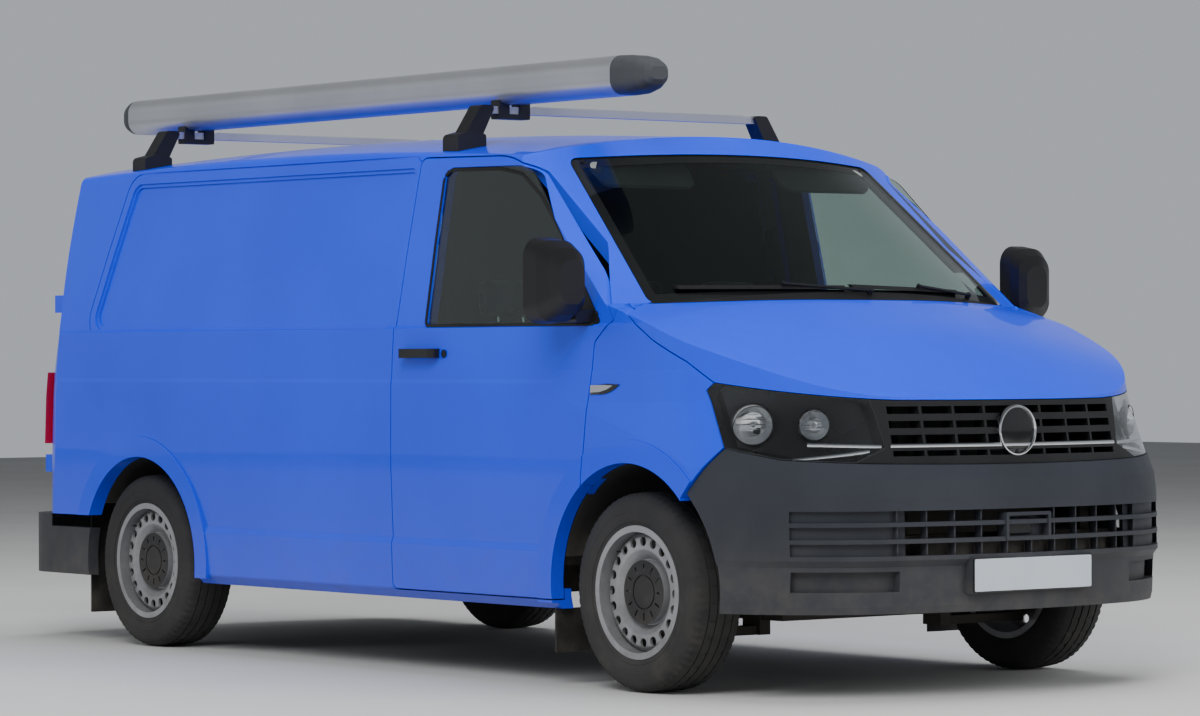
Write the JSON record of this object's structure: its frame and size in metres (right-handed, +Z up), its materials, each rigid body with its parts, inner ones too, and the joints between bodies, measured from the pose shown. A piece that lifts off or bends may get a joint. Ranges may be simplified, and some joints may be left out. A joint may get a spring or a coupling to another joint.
{
  "type": "panel van",
  "caption": "Panel van with an enclosed load space, a short sloping bonnet, steel wheels and a pipe carrier tube on roof bars.",
  "frame": {"origin": "on the ground under the middle of the bounding box, halfway between the bumpers and on the vehicle's centre line", "axes": "+X towards the front bumper, +Y to the vehicle's left, +Z up"},
  "size_m": [4.904, 2.296, 2.1169],
  "materials": {
    "body_paint": "gloss",
    "inner_paint": "satin",
    "bumper_plastic": "grained",
    "black_plastic": "grained",
    "lamp_clear": "clear",
    "lamp_red": "clear",
    "glass": "polished",
    "cab_plastic": "grained",
    "seat_cloth": "woven",
    "floor_board": "coated",
    "cast_metal": "rough",
    "exhaust_steel": "dull",
    "tank_plastic": "moulded",
    "aluminium": "anodised",
    "cap_plastic": "grained",
    "tyre": "moulded",
    "wheel_paint": "silver"
  },
  "bodies": {
    "body": {"floor": "inner_paint", "roof": "body_paint", "side_right": "body_paint", "side_left": "body_paint", "front_frame": "inner_paint", "wings": "body_paint", "front_bumper": "bumper_plastic", "grille": "black_plastic", "headlamps": "lamp_clear", "tail_lamps": "lamp_red", "windscreen": "glass", "rear_bumper": "bumper_plastic", "bulkhead": "inner_paint", "dashboard": "cab_plastic", "seats": "seat_cloth", "seat_bases": "cab_plastic", "load_mat": "floor_board", "sliding_door": "body_paint", "sliding_door_handle": "black_plastic", "steering_wheel": "cab_plastic", "cowl": "black_plastic", "wipers": "black_plastic", "mudflaps": "black_plastic", "front_subframe": "cast_metal", "rear_axle": "cast_metal", "engine": "cast_metal", "exhaust": "exhaust_steel", "fuel_tank": "tank_plastic", "roof_bars": "aluminium", "bar_feet": "black_plastic", "pipe_tube": "aluminium", "tube_front_cap": "cap_plastic"},
    "tube_cap": {"tube_rear_cap": "cap_plastic"},
    "bonnet": {"bonnet": "body_paint"},
    "right_door": {"door_right": "body_paint", "door_glass_right": "glass", "mirror_and_handle_right": "black_plastic"},
    "left_door": {"door_left": "body_paint", "door_glass_left": "glass", "mirror_and_handle_left": "black_plastic"},
    "right_rear_door": {"rear_door_right": "body_paint"},
    "left_rear_door": {"rear_door_left": "body_paint", "rear_door_handle": "black_plastic"},
    "right_knuckle": {"knuckle_right": "cast_metal"},
    "left_knuckle": {"knuckle_left": "cast_metal"},
    "front_right_wheel": {"tyre_front_right": "tyre", "wheel_front_right": "wheel_paint"},
    "front_left_wheel": {"tyre_front_left": "tyre", "wheel_front_left": "wheel_paint"},
    "rear_right_wheel": {"tyre_rear_right": "tyre", "wheel_rear_right": "wheel_paint"},
    "rear_left_wheel": {"tyre_rear_left": "tyre", "wheel_rear_left": "wheel_paint"}
  },
  "joints": [
    {"name": "steer_left", "type": "hinge", "parent": "body", "child": "left_knuckle", "pos_m": [1.544, 0.765, 0.326], "axis": [0, 0, 1], "range_deg": [-35, 35]},
    {"name": "steer_right", "type": "hinge", "parent": "body", "child": "right_knuckle", "pos_m": [1.544, -0.765, 0.326], "axis": [0, 0, 1], "range_deg": [-35, 35]},
    {"name": "front_left_spin", "type": "hinge", "parent": "left_knuckle", "child": "front_left_wheel", "pos_m": [1.544, 0.814, 0.326], "axis": [0, 1, 0], "continuous": true},
    {"name": "front_right_spin", "type": "hinge", "parent": "right_knuckle", "child": "front_right_wheel", "pos_m": [1.544, -0.814, 0.326], "axis": [0, 1, 0], "continuous": true},
    {"name": "rear_left_spin", "type": "hinge", "parent": "body", "child": "rear_left_wheel", "pos_m": [-1.456, 0.814, 0.326], "axis": [0, 1, 0], "continuous": true},
    {"name": "rear_right_spin", "type": "hinge", "parent": "body", "child": "rear_right_wheel", "pos_m": [-1.456, -0.814, 0.326], "axis": [0, 1, 0], "continuous": true},
    {"name": "right_door_hinge", "type": "hinge", "parent": "body", "child": "right_door", "pos_m": [1.35, -0.951, 0.9], "axis": [0, 0, 1], "range_deg": [0, 68]},
    {"name": "left_door_hinge", "type": "hinge", "parent": "body", "child": "left_door", "pos_m": [1.35, 0.951, 0.9], "axis": [0, 0, -1], "range_deg": [0, 68]},
    {"name": "bonnet_hinge", "type": "hinge", "parent": "body", "child": "bonnet", "pos_m": [1.456, 0, 1.252], "axis": [0, -1, 0], "range_deg": [0, 50]},
    {"name": "right_rear_door_hinge", "type": "hinge", "parent": "body", "child": "right_rear_door", "pos_m": [-2.245, -0.78, 1.04], "axis": [0.1191, 0, 0.9929], "range_deg": [0, 170]},
    {"name": "left_rear_door_hinge", "type": "hinge", "parent": "body", "child": "left_rear_door", "pos_m": [-2.245, 0.78, 1.04], "axis": [-0.1191, 0, -0.9929], "range_deg": [0, 170]},
    {"name": "tube_cap_hinge", "type": "hinge", "parent": "body", "child": "tube_cap", "pos_m": [-2.1105, -0.5, 2.117], "axis": [0, 1, 0], "range_deg": [0, 90]}
  ],
  "couplings": [
    {"joint": "steer_right", "follows": "steer_left", "ratio": 1}
  ]
}
